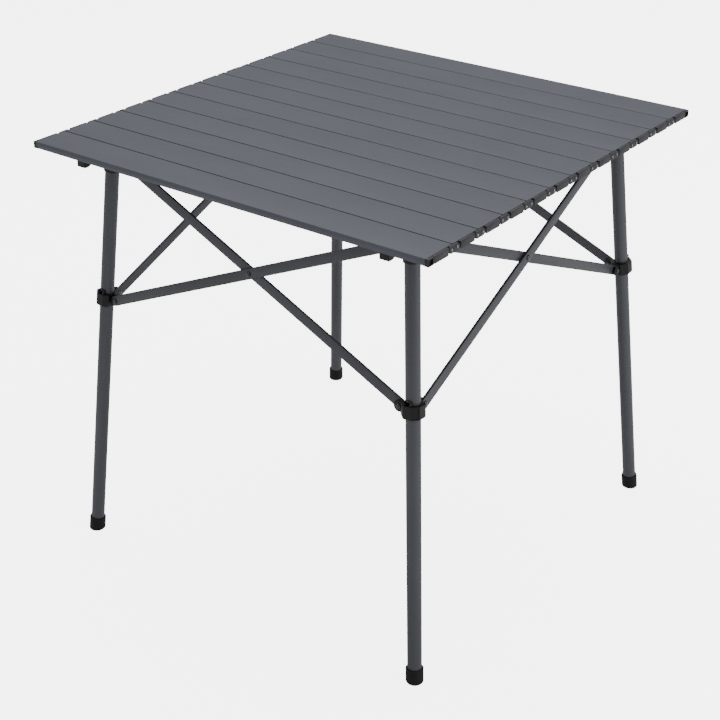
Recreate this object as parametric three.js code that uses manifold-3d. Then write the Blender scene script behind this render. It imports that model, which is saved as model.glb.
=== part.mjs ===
// Folding camp table: a roll-up slatted top on a folding frame of four splayed legs.
// Millimetres, +Z up, origin on the ground at the middle of the four feet.
// The slats run along X and lie side by side along Y.
import * as THREE from 'three';
import { mergeVertices } from 'three/addons/utils/BufferGeometryUtils.js';
import Module from 'manifold-3d';

const wasm = await Module();
wasm.setup();

// Fit between neighbouring pieces, and the overrun of a cut through a face
const clearance = 0.3;
const slideClearance = 0.4;
const overrun = 1;

// Tabletop: about as deep as it is wide
const slatCount = 12;
const slatLength = 711;
const depthBeyondLength = 9.96;
const slatPitch = (slatLength + depthBeyondLength) / slatCount;
const slatHeight = 11.2;
const slatSeam = 0.5;
const slatTopWall = 1.4;
const slatSideWall = 1.2;
const slatEdgeRadius = 1;
const slatStraightSide = 5.6;
const slatTaper = 1.7;
const slatSlot = 8.2;
const tableHeight = 700;

// End plugs of the slats and the pinned links between them
const plugDepth = 14;
const plugProud = 4.5;
const plugDrop = 0.3;
const plugCornerRadius = 3;
const pinFromSeam = 6.6;
const pinRadius = 1.6;
const pinLength = 8;
const pinHeadRadius = 2.3;
const pinHeadProud = 0.9;
const linkInset = 0.2;
const linkFromPlug = 1.54;
const socketWidth = 12.6;
const socketWall = 1.6;
const socketDepth = 3.4;

// Catches under the first and last slat
const catchFromEnd = 76.5;
const catchFromMiddle = slatLength / 2 - catchFromEnd;
const catchWidth = 16;
const catchHeight = 18;
const catchSetback = 17;
const catchFromInnerEdge = 2.58;
const catchFlat = 9;

// Legs: a tube leans inward by the same amount in X and in Y, to a cap under the second slat
const capFromSeam = 23.2;
const capFromMiddle = slatPitch * (slatCount / 2 - 1) - capFromSeam;
const footOutsideCap = 56.3;
const footFromMiddle = capFromMiddle + footOutsideCap;
const leanTopBelowTable = 19.3;
const leanHeight = tableHeight - leanTopBelowTable;
const tubeRadius = 11;
const tubeWall = 1.2;
const footWall = 2.2;
const footRadius = tubeRadius + clearance + footWall;
const footHeight = 24;
const footFloor = 4;
const footEdgeRadius = 3;
const footBelowGround = 2;
const capWall = 1.7;
const capRadius = tubeRadius + clearance + capWall;
const capSkirt = 22;
const capAboveTube = 9;
const capChamfer = 1.2;

// Folding frame
const capPivotBelowTable = 27;
const capPivotAlongLeg = tableHeight - capPivotBelowTable;
const collarPivotAlongLeg = 439.7;
const barWidth = 16;
const barFromCap = 0.5;
const pivotFromLegAxis = capRadius + barWidth / 2 + barFromCap;
const barThickness = 5;
const barEdge = 0.7;
const layerGap = 0.3;
const earRadius = 8.5;
const freeEarRelief = 1.8;
const rivetRadius = 2.5;
const rivetHeadRadius = 5.2;
const rivetHeadProud = 2.2;
const crossingHeadRadius = 4.3;
const collarWall = 5.1;
const collarAcrossFlats = 2 * (tubeRadius + slideClearance + collarWall);
const collarAbovePivot = 8.4;
const collarBelowPivot = 12.7;
const collarChamfer = 2;
const collarPanelWidth = 9;
const collarPanelDepth = 0.8;
const collarPanelRim = 2.5;
const buttonRadius = 3.6;
const buttonProud = 3.1;
const buttonAbovePivot = 12.4;
const tabWidth = 13;
const tabThickness = 3.8;
const tabAboveButton = 1.8;

// Facets of the round shapes
const tubeSides = 20;
const capSides = 20;
const rivetSides = 10;
const pinSides = 6;
const cornerSteps = 1;
const roundEndSteps = 3;
const footEdgeSteps = 3;

const materials = {
  slat: new THREE.MeshStandardMaterial({ color: 0x666b73, roughness: 0.55, metalness: 0.6 }),
  link: new THREE.MeshStandardMaterial({ color: 0x3e3e42, roughness: 0.6, metalness: 0 }),
  leg: new THREE.MeshStandardMaterial({ color: 0x4b4e54, roughness: 0.45, metalness: 0.6 }),
  bar: new THREE.MeshStandardMaterial({ color: 0x4c4d52, roughness: 0.5, metalness: 0.6 }),
  plastic: new THREE.MeshStandardMaterial({ color: 0x232326, roughness: 0.6, metalness: 0 }),
};

// Turns a closed three.js geometry into a solid that can be cut and joined
function solidOf(geometry, placement = new THREE.Matrix4()) {
  const bare = geometry.clone();
  bare.deleteAttribute('normal');
  bare.deleteAttribute('uv');
  bare.applyMatrix4(placement);
  const merged = mergeVertices(bare);
  const corners = merged.index.array;
  const kept = [];
  for (let i = 0; i < corners.length; i += 3) {
    const [a, b, c] = [corners[i], corners[i + 1], corners[i + 2]];
    if (a !== b && b !== c && c !== a) kept.push(a, b, c);
  }
  const vertProperties = new Float32Array(merged.attributes.position.array);
  const triVerts = new Uint32Array(kept);
  return new wasm.Manifold(new wasm.Mesh({ numProp: 3, vertProperties, triVerts }));
}

// Names a solid as one piece of the table
function piece(name, solid, material) {
  const { vertProperties, triVerts } = solid.getMesh();
  const geometry = new THREE.BufferGeometry();
  geometry.setAttribute('position', new THREE.BufferAttribute(vertProperties, 3));
  geometry.setIndex(new THREE.BufferAttribute(triVerts, 1));
  const faceted = geometry.toNonIndexed();
  faceted.computeVertexNormals();
  const mesh = new THREE.Mesh(faceted, material.clone());
  mesh.name = name;
  return mesh;
}

function joined(solids) {
  return solids.reduce((whole, next) => whole.add(next));
}

function cutBy(solid, cutters) {
  return cutters.reduce((rest, cutter) => rest.subtract(cutter), solid);
}

function moved(x, y, z) {
  return new THREE.Matrix4().makeTranslation(x, y, z);
}

// A solid of revolution about Z from [radius, height] points, run up its outside
function turned(points, sides, placement, startAngle = 0) {
  const outline = points.map(([radius, height]) => new THREE.Vector2(radius, height));
  const geometry = new THREE.LatheGeometry(outline, sides, startAngle);
  geometry.rotateX(Math.PI / 2);
  return solidOf(geometry, placement);
}

// A rod along Z from one height to another
function rod(radius, low, high, sides, placement) {
  return turned([[0, low], [radius, low], [radius, high], [0, high]], sides, placement);
}

// A low rivet head on the plane at one height, bulging towards +Z
function dome(radius, proud, base, sides, placement) {
  const crownShare = 0.6;
  const crown = [radius * crownShare, base + proud];
  return turned([[0, base], [radius, base], crown, [0, base + proud]], sides, placement);
}

// The same head on a face that carries it, let into the face a little
function headOn(face, radius, proud, sides, placement) {
  const sunkShare = 0.2;
  const sunk = proud * sunkShare;
  return dome(radius, proud + sunk, face - sunk, sides, placement);
}

// A block between two opposite corners
function block(from, to, placement = new THREE.Matrix4()) {
  const size = to.map((end, axis) => end - from[axis]);
  const middle = to.map((end, axis) => (end + from[axis]) / 2);
  const geometry = new THREE.BoxGeometry(...size);
  geometry.translate(...middle);
  return solidOf(geometry, placement);
}

// A flat outline given in X-Y and pushed up +Z from a base height
function plate(outline, depth, base, curveSegments, placement = new THREE.Matrix4()) {
  const geometry = new THREE.ExtrudeGeometry(outline, {
    depth,
    bevelEnabled: false,
    curveSegments,
  });
  geometry.translate(0, 0, base);
  return solidOf(geometry, placement);
}

// An outline with two straight sides and two round ends, centres on the X axis
function roundEnded(from, to, radius) {
  const outline = new THREE.Shape();
  outline.moveTo(from, -radius);
  outline.lineTo(to, -radius);
  outline.absarc(to, 0, radius, -Math.PI / 2, Math.PI / 2, false);
  outline.lineTo(from, radius);
  outline.absarc(from, 0, radius, Math.PI / 2, Math.PI * 1.5, false);
  return outline;
}

// Outlines of the slat are drawn in Y-Z and pushed along +X
const alongX = new THREE.Matrix4().makeBasis(
  new THREE.Vector3(0, 1, 0),
  new THREE.Vector3(0, 0, 1),
  new THREE.Vector3(1, 0, 0),
);

const slatHalfWidth = (slatPitch - slatSeam) / 2;
const slatBaseHalfWidth = slatHalfWidth - slatTaper;
const slatEnd = slatLength / 2;
const pinFromSlatMiddle = slatPitch / 2 - pinFromSeam;
const pinBelowTop = slatHeight / 2;
const linkRadius = pinBelowTop - linkInset;
const plugWidth = slatPitch - 2 * (pinFromSeam + linkRadius + linkFromPlug);

// The outer outline of a slat, from its lower left corner over the top
function slatOutline() {
  const outline = new THREE.Shape();
  outline.moveTo(-slatBaseHalfWidth, -slatHeight);
  outline.lineTo(slatBaseHalfWidth, -slatHeight);
  outline.lineTo(slatHalfWidth, -slatStraightSide);
  const cornerY = slatHalfWidth - slatEdgeRadius;
  outline.lineTo(slatHalfWidth, -slatEdgeRadius);
  outline.absarc(cornerY, -slatEdgeRadius, slatEdgeRadius, 0, Math.PI / 2, false);
  outline.lineTo(-cornerY, 0);
  outline.absarc(-cornerY, -slatEdgeRadius, slatEdgeRadius, Math.PI / 2, Math.PI, false);
  outline.lineTo(-slatHalfWidth, -slatStraightSide);
  return outline;
}

// The hollow of a slat, open below through a slot along the middle
function slatHollow() {
  const floor = -slatHeight + slatSideWall;
  const outline = new THREE.Shape();
  outline.moveTo(-slatSlot / 2, -slatHeight - overrun);
  outline.lineTo(slatSlot / 2, -slatHeight - overrun);
  outline.lineTo(slatSlot / 2, floor);
  outline.lineTo(slatBaseHalfWidth - slatSideWall, floor);
  outline.lineTo(slatHalfWidth - slatSideWall, -slatStraightSide);
  outline.lineTo(slatHalfWidth - slatSideWall, -slatTopWall);
  outline.lineTo(-slatHalfWidth + slatSideWall, -slatTopWall);
  outline.lineTo(-slatHalfWidth + slatSideWall, -slatStraightSide);
  outline.lineTo(-slatBaseHalfWidth + slatSideWall, floor);
  outline.lineTo(-slatSlot / 2, floor);
  return outline;
}

// The face of an end plug, square above and rounded below
function plugOutline() {
  const half = plugWidth / 2;
  const inner = half - plugCornerRadius;
  const lowCentre = -slatHeight + plugCornerRadius;
  const outline = new THREE.Shape();
  outline.moveTo(-inner, -slatHeight);
  outline.lineTo(inner, -slatHeight);
  outline.absarc(inner, lowCentre, plugCornerRadius, -Math.PI / 2, 0, false);
  outline.lineTo(half, -plugDrop);
  outline.lineTo(-half, -plugDrop);
  outline.absarc(-inner, lowCentre, plugCornerRadius, Math.PI, Math.PI * 1.5, false);
  return outline;
}

// A plug's proud face and its pin holes at the +X end of a slat
function plugFace() {
  return plate(plugOutline(), plugProud + overrun, slatEnd - overrun, cornerSteps, alongX);
}

function pinHole(side) {
  const from = slatEnd - pinLength - clearance;
  const hole = rod(pinRadius + clearance, from, slatEnd + overrun, pinSides);
  const placement = moved(0, side * pinFromSlatMiddle, -pinBelowTop).multiply(alongX);
  return hole.transform(placement.elements);
}

// The empty half socket at an outer corner of the tabletop, on the -Y side
function emptySocket() {
  const near = -slatHalfWidth;
  const body = [
    [slatEnd - overrun, near, -slatHeight],
    [slatEnd + plugProud, near + socketWidth, -plugDrop],
  ];
  const pocket = [
    [slatEnd + plugProud - socketDepth, near + socketWall, -slatHeight + socketWall],
    [slatEnd + plugProud + overrun, near + socketWidth - socketWall, -plugDrop - socketWall],
  ];
  return block(...body).subtract(block(...pocket));
}

// A catch: a quarter-round wedge that hangs below the outermost slat on the -Y side
function catchWedge() {
  const outer = -slatHalfWidth + catchSetback;
  const inner = slatHalfWidth - catchFromInnerEdge;
  const crest = outer + catchFlat;
  const outline = new THREE.Shape();
  outline.moveTo(outer, -slatHeight + slatSideWall);
  outline.lineTo(outer, -slatHeight - catchHeight);
  outline.lineTo(crest, -slatHeight - catchHeight);
  const bulge = [crest + (inner - outer) / 2, -slatHeight - catchHeight / 2];
  outline.quadraticCurveTo(...bulge, inner, -slatHeight);
  outline.lineTo(inner, -slatHeight + slatSideWall);
  return plate(outline, catchWidth, -catchWidth / 2, roundEndSteps * 2, alongX);
}

// One slat with its two end plugs, its top face on Z = 0
function slatSolid(isOuter) {
  const outline = slatOutline();
  const shell = plate(outline, slatLength, -slatEnd, cornerSteps, alongX);
  const hollowLength = slatLength - 2 * plugDepth;
  const hollow = plate(slatHollow(), hollowLength, -hollowLength / 2, cornerSteps, alongX);
  const ends = [plugFace()];
  const holes = [pinHole(1)];
  if (isOuter) ends.push(emptySocket());
  else holes.push(pinHole(-1));
  const mirroredEnds = ends.map((end) => end.mirror([1, 0, 0]));
  const mirroredHoles = holes.map((hole) => hole.mirror([1, 0, 0]));
  const whole = joined([shell.subtract(hollow), ...ends, ...mirroredEnds]);
  const bored = cutBy(whole, [...holes, ...mirroredHoles]);
  if (!isOuter) return bored;
  const wedge = catchWedge();
  const places = [-1, 1].map((side) => moved(side * catchFromMiddle, 0, 0));
  return joined([bored, ...places.map((place) => wedge.transform(place.elements))]);
}

// A link plate with its two pins, at the +X end of a seam whose top is at the origin
function linkSolid() {
  const back = slatEnd + clearance;
  const face = slatEnd + plugProud;
  const outline = roundEnded(-pinFromSeam, pinFromSeam, linkRadius);
  const parts = [plate(outline, face - back, back, roundEndSteps)];
  for (const side of [-1, 1]) {
    const place = moved(side * pinFromSeam, 0, 0);
    parts.push(rod(pinRadius, slatEnd - pinLength, back + overrun, pinSides, place));
    parts.push(headOn(face, pinHeadRadius, pinHeadProud, pinSides, place));
  }
  const placement = moved(0, 0, -pinBelowTop).multiply(alongX);
  return joined(parts).transform(placement.elements);
}

function buildTabletop() {
  const top = new THREE.Group();
  top.position.z = tableHeight;
  const plainSlat = slatSolid(false);
  const outerSlat = slatSolid(true);
  const link = linkSolid();
  const firstY = -slatPitch * (slatCount - 1) / 2;
  for (let i = 0; i < slatCount; i += 1) {
    const label = String(i + 1).padStart(2, '0');
    const isLast = i === slatCount - 1;
    const slat = piece(`slat_${label}`, i === 0 || isLast ? outerSlat : plainSlat, materials.slat);
    slat.position.y = firstY + i * slatPitch;
    if (isLast) slat.rotation.z = Math.PI;
    top.add(slat);
    if (isLast) continue;
    const seamY = firstY + (i + 1 / 2) * slatPitch;
    const rightLink = piece(`link_right_${label}`, link, materials.link);
    rightLink.position.y = seamY;
    const leftLink = piece(`link_left_${label}`, link, materials.link);
    leftLink.position.y = seamY;
    leftLink.rotation.z = Math.PI;
    top.add(rightLink, leftLink);
  }
  return top;
}

// The front left corner. The other three are this one turned about Z by quarter turns.
// The leg frame stands on the ground under the tube: Z runs up the tube, X lies in the
// plane of the front pair of legs and Y in from that plane.
const lean = footFromMiddle - capFromMiddle;
const ground = new THREE.Vector3(-footFromMiddle, -footFromMiddle, 0);
const up = new THREE.Vector3(lean, lean, leanHeight).normalize();
const frontOutward = new THREE.Vector3(0, -leanHeight, lean).normalize();
const leftOutward = new THREE.Vector3(-leanHeight, 0, lean).normalize();
const legFrame = new THREE.Matrix4().makeBasis(
  new THREE.Vector3().crossVectors(up, frontOutward),
  frontOutward.clone().negate(),
  up,
).setPosition(ground);
const worldToLeg = legFrame.clone().invert();

// Each leg has two sides. A side frame shares the leg's Z, has X pointing to the next leg
// in that side's plane, and outward gives the sign of the side's outer face along Y.
const leftInboard = new THREE.Vector3().crossVectors(leftOutward, up);
const leftSideFrame = new THREE.Matrix4().makeBasis(
  leftInboard,
  new THREE.Vector3().crossVectors(up, leftInboard),
  up,
).setPosition(ground);
const sides = [
  { frame: new THREE.Matrix4(), outward: -1, collarLayer: -1, capLayer: 1 },
  {
    frame: worldToLeg.clone().multiply(leftSideFrame),
    outward: 1,
    collarLayer: 1,
    capLayer: -1,
  },
];

// Outlines drawn in a side's X-Z plane and pushed along Y from a layer's inner face
const alongY = new THREE.Matrix4().makeBasis(
  new THREE.Vector3(1, 0, 0),
  new THREE.Vector3(0, 0, 1),
  new THREE.Vector3(0, -1, 0),
);

// A lug in one layer beside the plane of the bars, with a hole where a rivet runs through.
// The relief thins it on the side of the bar.
function earSolid(side, layer, along, isBored, relief) {
  const outline = roundEnded(tubeRadius, pivotFromLegAxis, earRadius);
  const inner = layerGap / 2;
  const lug = plate(outline, barThickness - relief, inner + relief, roundEndSteps);
  const hole = rod(rivetRadius + clearance, 0, barThickness + 2 * overrun, rivetSides,
    moved(pivotFromLegAxis, 0, 0));
  const outerFace = inner + barThickness;
  const place = moved(pivotFromLegAxis, 0, 0);
  const head = headOn(outerFace, crossingHeadRadius, rivetHeadProud, rivetSides, place);
  const shaped = isBored ? lug.subtract(hole) : lug.add(head);
  const facing = layer * side.outward < 0 ? 0 : Math.PI;
  const placement = side.frame.clone()
    .multiply(moved(0, 0, along))
    .multiply(alongY)
    .multiply(new THREE.Matrix4().makeRotationX(facing));
  return shaped.transform(placement.elements);
}

function tubeSolid(buttonTurn) {
  const inner = tubeRadius - tubeWall;
  const low = footFloor + clearance;
  const high = capPivotAlongLeg + capAboveTube;
  const tube = turned(
    [[inner, low], [tubeRadius, low], [tubeRadius, high], [inner, high], [inner, low]],
    tubeSides,
  );
  const outwards = new THREE.Matrix4().makeRotationZ(buttonTurn)
    .multiply(moved(0, 0, collarPivotAlongLeg + buttonAbovePivot))
    .multiply(new THREE.Matrix4().makeRotationX(Math.PI / 2));
  const stem = tubeRadius - tubeWall / 2;
  const shank = rod(buttonRadius, stem, tubeRadius + buttonProud / 2, rivetSides, outwards);
  const crown = dome(buttonRadius, buttonProud / 2, tubeRadius + buttonProud / 2, rivetSides, outwards);
  return joined([tube, shank, crown]);
}

function footSolid() {
  const bore = tubeRadius + clearance;
  const low = -footBelowGround;
  const roundedEdge = [];
  for (let i = 0; i <= footEdgeSteps; i += 1) {
    const angle = (i / footEdgeSteps) * Math.PI / 2;
    roundedEdge.push([
      footRadius - footEdgeRadius + footEdgeRadius * Math.sin(angle),
      low + footEdgeRadius - footEdgeRadius * Math.cos(angle),
    ]);
  }
  const cup = turned([
    [0, low],
    ...roundedEdge,
    [footRadius, footHeight - footEdgeRadius / 3],
    [footRadius - footEdgeRadius / 3, footHeight],
    [bore, footHeight],
    [bore, footFloor],
    [0, footFloor],
  ], capSides);
  const reach = footRadius + footHeight;
  const below = block([-reach, -reach, -reach], [reach, reach, 0], moved(...ground.toArray()));
  return cup.subtract(below.transform(worldToLeg.elements));
}

function capSolid(ownHeadSide) {
  const bore = tubeRadius + clearance;
  const low = capPivotAlongLeg - capSkirt;
  const ceiling = capPivotAlongLeg + capAboveTube + clearance;
  const seatHeight = tableHeight - slatHeight - clearance;
  const high = (seatHeight + capRadius) / up.z;
  const shell = turned([
    [0, low],
    [capRadius - capChamfer / 2, low],
    [capRadius, low + capChamfer],
    [capRadius, high],
    [0, high],
  ], capSides);
  const reach = footFromMiddle * 2;
  const above = block([-reach, -reach, seatHeight], [reach, reach, seatHeight + reach]);
  const ears = sides.map((side) => {
    const isBored = side !== ownHeadSide;
    return earSolid(side, side.capLayer, capPivotAlongLeg, isBored, 0);
  });
  const tubeRoom = rod(bore, low - overrun, ceiling, capSides);
  return joined([shell, ...ears]).subtract(above.transform(worldToLeg.elements)).subtract(tubeRoom);
}

// The sliding collar, with a notched tab that the leg's button snaps into
function collarSolid(buttonTurn, relievedSide) {
  const circumradius = collarAcrossFlats / 2 / Math.cos(Math.PI / 8);
  const low = collarPivotAlongLeg - collarBelowPivot;
  const high = collarPivotAlongLeg + collarAbovePivot;
  const body = turned([
    [0, low],
    [circumradius - collarChamfer, low],
    [circumradius, low + collarChamfer],
    [circumradius, high - collarChamfer / 4],
    [circumradius - collarChamfer / 4, high],
    [0, high],
  ], 8, new THREE.Matrix4(), Math.PI / 8);
  const cutters = [];
  for (const side of sides) {
    const nearBar = pivotFromLegAxis - barWidth / 2 - layerGap;
    const barSide = -side.collarLayer * side.outward;
    const far = collarAcrossFlats * barSide;
    const near = side === relievedSide ? -freeEarRelief * barSide : 0;
    const from = [nearBar, Math.min(near, far), low - overrun];
    const to = [collarAcrossFlats, Math.max(near, far), high + overrun];
    cutters.push(block(from, to, side.frame));
  }
  const trimmed = cutBy(body, cutters);
  const ears = sides.map((side) => {
    const relief = side === relievedSide ? freeEarRelief : 0;
    return earSolid(side, side.collarLayer, collarPivotAlongLeg, false, relief);
  });
  const outwards = new THREE.Matrix4().makeRotationZ(buttonTurn);
  const buttonAlong = collarPivotAlongLeg + buttonAbovePivot;
  const bore = tubeRadius + slideClearance;
  const tab = block(
    [-tabWidth / 2, -bore - tabThickness, high - overrun],
    [tabWidth / 2, 0, buttonAlong + tabAboveButton],
    outwards,
  );
  const notchRadius = buttonRadius + clearance;
  const notch = roundEnded(0, tabWidth, notchRadius);
  const upright = moved(0, 0, buttonAlong)
    .multiply(alongY)
    .multiply(new THREE.Matrix4().makeRotationZ(Math.PI / 2));
  const slot = plate(notch, collarAcrossFlats, 0, roundEndSteps, outwards.clone().multiply(upright));
  const panelDepth = collarAcrossFlats / 2 - collarPanelDepth;
  const corner = new THREE.Matrix4().makeRotationZ(-Math.PI / 4);
  const panel = block(
    [-collarPanelWidth / 2, -collarAcrossFlats, low + collarPanelRim],
    [collarPanelWidth / 2, -panelDepth, high - collarPanelRim],
    corner,
  );
  const tubeRoom = rod(bore, low - overrun, buttonAlong + tabAboveButton + overrun, tubeSides);
  return cutBy(joined([trimmed, ...ears, tab]), [slot, panel, tubeRoom]);
}

// The side planes: X along the side, Y inward, Z up the slope, origin between the feet
const slopeLength = Math.hypot(lean, leanHeight);
const planeLean = Math.atan2(lean, slopeLength);
const sideFrame = new THREE.Matrix4().makeBasis(
  new THREE.Vector3(1, 0, 0),
  frontOutward.clone().negate(),
  new THREE.Vector3(0, lean, leanHeight).normalize(),
).setPosition(new THREE.Vector3(0, -footFromMiddle, 0));

// A pivot in the side plane: half its spacing and its height up the slope
function pivotPlace(along) {
  return {
    half: footFromMiddle - along * Math.sin(planeLean) - pivotFromLegAxis * Math.cos(planeLean),
    height: along * Math.cos(planeLean) - pivotFromLegAxis * Math.sin(planeLean),
  };
}

// A flat bar along X with rounded ends at its two pivots and a pivot where bars cross.
// It lies from zero to its thickness along Z. The outer bar carries the crossing rivet.
// A bar that is free above has a rivet head there, but no shank through the ear.
function barSolid(isOuter, isFreeAbove) {
  const upper = pivotPlace(capPivotAlongLeg);
  const lower = pivotPlace(collarPivotAlongLeg);
  const span = Math.hypot(upper.half + lower.half, upper.height - lower.height);
  const crossing = span * upper.half / (upper.half + lower.half);
  const radius = barWidth / 2;
  const bevelled = new THREE.ExtrudeGeometry(roundEnded(0, span, radius - barEdge), {
    depth: barThickness - 2 * barEdge,
    bevelThickness: barEdge,
    bevelSize: barEdge,
    bevelSegments: 1,
    curveSegments: roundEndSteps,
  });
  bevelled.translate(0, 0, barEdge);
  const stock = solidOf(bevelled);
  const through = barThickness + 2 * layerGap + clearance;
  const farFace = layerGap + barThickness + clearance;
  const flip = new THREE.Matrix4().makeRotationX(Math.PI);
  const at = (x) => moved(x, 0, 0);
  const onBack = (x) => at(x).multiply(flip);
  const parts = [
    stock,
    headOn(barThickness, rivetHeadRadius, rivetHeadProud, rivetSides, at(0)),
    headOn(barThickness, rivetHeadRadius, rivetHeadProud, rivetSides, at(span)),
  ];
  if (!isFreeAbove) {
    parts.push(rod(rivetRadius, -through, barEdge, rivetSides, at(0)));
    parts.push(dome(crossingHeadRadius, rivetHeadProud, farFace, rivetSides, onBack(0)));
  }
  if (isOuter) {
    const place = at(crossing);
    parts.push(headOn(barThickness, crossingHeadRadius, rivetHeadProud, rivetSides, place));
    parts.push(rod(rivetRadius, -through, barEdge, rivetSides, place));
    parts.push(dome(crossingHeadRadius, rivetHeadProud, farFace, rivetSides, onBack(crossing)));
    return joined(parts);
  }
  const hole = rod(rivetRadius + clearance, -overrun, barThickness + overrun, rivetSides, at(crossing));
  return joined(parts).subtract(hole);
}

// Lays a bar from its upper pivot on one leg down to the collar of the other.
// The outer bar's upper end is at the right-hand leg, seen from outside.
function barPlacement(isOuter) {
  const upper = pivotPlace(capPivotAlongLeg);
  const lower = pivotPlace(collarPivotAlongLeg);
  const run = upper.half + lower.half;
  const drop = upper.height - lower.height;
  const hand = isOuter ? 1 : -1;
  const along = new THREE.Vector3(-hand * run, 0, -drop).normalize();
  const outOfPlane = new THREE.Vector3(0, -hand, 0);
  const across = new THREE.Vector3().crossVectors(outOfPlane, along);
  const start = new THREE.Vector3(hand * upper.half, -hand * layerGap / 2, upper.height);
  return new THREE.Matrix4().makeBasis(along, across, outOfPlane).setPosition(start);
}

function place(mesh, matrix) {
  mesh.applyMatrix4(matrix);
  return mesh;
}

function buildFrame() {
  const frame = new THREE.Group();
  const corners = ['front_left', 'front_right', 'back_right', 'back_left'];
  const sideNames = ['front', 'right', 'back', 'left'];
  const foot = footSolid();
  const cap = capSolid();
  const freeEarCap = capSolid(sides[1]);
  const outerBar = barSolid(true, false);
  const freeOuterBar = barSolid(true, true);
  const innerBar = barSolid(false, false);
  // Every button faces the front or the back, so it lies on alternate sides of its leg
  const buttonTurns = [0, -Math.PI / 2, 0, -Math.PI / 2];
  for (let i = 0; i < corners.length; i += 1) {
    const quarter = new THREE.Group();
    quarter.rotation.z = i * Math.PI / 2;
    const turn = buttonTurns[i];
    const hasFreeEar = corners[i] === 'back_left';
    const relievedSide = hasFreeEar ? sides[1] : null;
    const outer = sideNames[i] === 'back' ? freeOuterBar : outerBar;
    quarter.add(
      place(piece(`leg_${corners[i]}`, tubeSolid(turn), materials.leg), legFrame),
      place(piece(`foot_${corners[i]}`, foot, materials.plastic), legFrame),
      place(piece(`cap_${corners[i]}`, hasFreeEar ? freeEarCap : cap, materials.plastic), legFrame),
      place(piece(`collar_${corners[i]}`, collarSolid(turn, relievedSide), materials.plastic), legFrame),
    );
    const outerPlace = sideFrame.clone().multiply(barPlacement(true));
    const innerPlace = sideFrame.clone().multiply(barPlacement(false));
    quarter.add(
      place(piece(`bar_${sideNames[i]}_outer`, outer, materials.bar), outerPlace),
      place(piece(`bar_${sideNames[i]}_inner`, innerBar, materials.bar), innerPlace),
    );
    frame.add(quarter);
  }
  return frame;
}

const group = new THREE.Group();
group.add(buildTabletop(), buildFrame());
export default group;
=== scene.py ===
"""Looks of the folding camp table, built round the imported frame.

Every CAD node is stood for by smooth pieces worked out here with numpy. Sizes are in millimetres in the
dataclasses below, and a piece is turned into metres when its mesh is made.
"""

import logging
import math
from dataclasses import dataclass
from enum import Enum

import bpy
import numpy as np
from mathutils import Matrix

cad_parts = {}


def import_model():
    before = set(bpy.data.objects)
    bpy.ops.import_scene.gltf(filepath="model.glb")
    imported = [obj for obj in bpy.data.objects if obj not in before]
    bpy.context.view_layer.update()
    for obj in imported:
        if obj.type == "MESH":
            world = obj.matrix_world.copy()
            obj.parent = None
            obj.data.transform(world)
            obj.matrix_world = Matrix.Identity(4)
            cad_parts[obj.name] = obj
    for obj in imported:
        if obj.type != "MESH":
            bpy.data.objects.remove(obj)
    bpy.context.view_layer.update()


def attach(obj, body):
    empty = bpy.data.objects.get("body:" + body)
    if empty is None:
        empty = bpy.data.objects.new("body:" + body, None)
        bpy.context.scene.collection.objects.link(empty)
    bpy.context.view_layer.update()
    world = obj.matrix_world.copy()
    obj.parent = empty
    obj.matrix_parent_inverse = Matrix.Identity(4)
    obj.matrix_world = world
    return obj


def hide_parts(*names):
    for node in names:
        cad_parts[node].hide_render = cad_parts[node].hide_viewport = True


LOG = logging.getLogger("camp_table")
MM = 0.001
PLACE = "shop_place"
# Painted shade down the slats' seams: a point attribute from 0 to 1, and the share of the finish's dark tone
# that it darkens to.
PAINTED_SEAM_SHADE = "shop_painted_seam_shade"
PAINTED_SHADE_SHARE = 0.04
SHARPEST_SHARE = 0.5
CROWN_SHARE = 0.97
CROWN_POINTS = 7
PLAIN_SHARP = 40.0
SLAT_SHARP = 25.0
FOOT_SHARP = 30.0
COLLAR_SHARP = 32.0
Array = np.ndarray


class Corner(Enum):
    """The four legs, in quarter turns from the front left one."""

    FRONT_LEFT = 0
    FRONT_RIGHT = 1
    BACK_RIGHT = 2
    BACK_LEFT = 3

    @property
    def label(self) -> str:
        """The corner's name in node names."""
        return self.name.lower()

    @property
    def button_turn(self) -> float:
        """Turn of a button about its tube, so that every button faces the front or the back."""
        return 0.0 if self.value % 2 == 0 else -math.pi / 2


class Side(Enum):
    """The four sides of the frame, in quarter turns from the front."""

    FRONT = 0
    RIGHT = 1
    BACK = 2
    LEFT = 3

    @property
    def label(self) -> str:
        """The side's name in node names."""
        return self.name.lower()


class Facing(Enum):
    """Which way a lug lies from the plane of the bars, as its turn about X."""

    MINUS_Y = 0.0
    PLUS_Y = math.pi


class Slot(Enum):
    """Material slots of the record."""

    SLAT = "slat_aluminium"
    LINK = "link_plastic"
    LEG = "leg_aluminium"
    BAR = "bar_aluminium"
    MOULDED = "moulded_plastic"


@dataclass(frozen=True)
class FitSizes:
    """Gaps between neighbouring pieces."""

    clearance: float = 0.3
    slide: float = 0.4
    layer: float = 0.3


@dataclass(frozen=True)
class TopSizes:
    """The roll-up top."""

    slats: int = 12
    length: float = 711.0
    depth_beyond_length: float = 9.96
    height: float = 11.2
    seam: float = 1.1
    top_wall: float = 1.4
    side_wall: float = 1.2
    edge_radius: float = 1.3
    foot_radius: float = 0.5
    straight_side: float = 5.6
    taper: float = 1.7
    slot: float = 8.2
    above_ground: float = 700.0

    @property
    def pitch(self) -> float:
        """Distance from one slat to the next."""
        return (self.length + self.depth_beyond_length) / self.slats

    @property
    def half_width(self) -> float:
        """Half the width of one slat at its top."""
        return (self.pitch - self.seam) / 2

    @property
    def end(self) -> float:
        """Distance from the middle to the end of a slat."""
        return self.length / 2

    @property
    def first_y(self) -> float:
        """Place of the first slat's middle, front to back."""
        return -self.pitch * (self.slats - 1) / 2


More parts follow.
